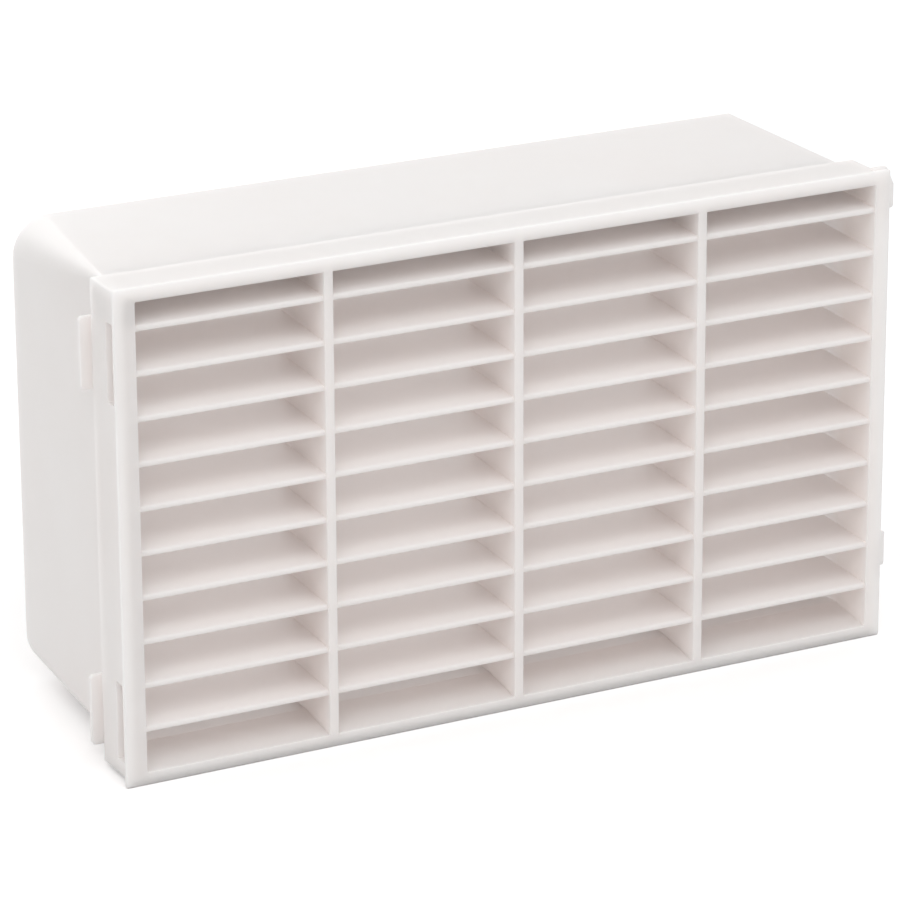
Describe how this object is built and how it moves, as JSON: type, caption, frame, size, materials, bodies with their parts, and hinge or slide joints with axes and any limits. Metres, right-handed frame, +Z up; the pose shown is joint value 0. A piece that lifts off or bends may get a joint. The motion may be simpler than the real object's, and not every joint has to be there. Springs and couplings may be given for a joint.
{
  "type": "brick vent grille",
  "caption": "Rectangular louvred vent grille with a hollow sleeve that passes through a brick wall, for air flow.",
  "frame": {"origin": "middle of the bottom edge of the face's rim, at its front", "axes": "+X along the face to the right as seen from outside, +Y into the wall, +Z up"},
  "size_m": [0.229, 0.0786, 0.1325],
  "materials": {
    "white_plastic": "satin off-white moulded plastic"
  },
  "bodies": {
    "root": {"vent_grille": "white_plastic"}
  },
  "joints": []
}
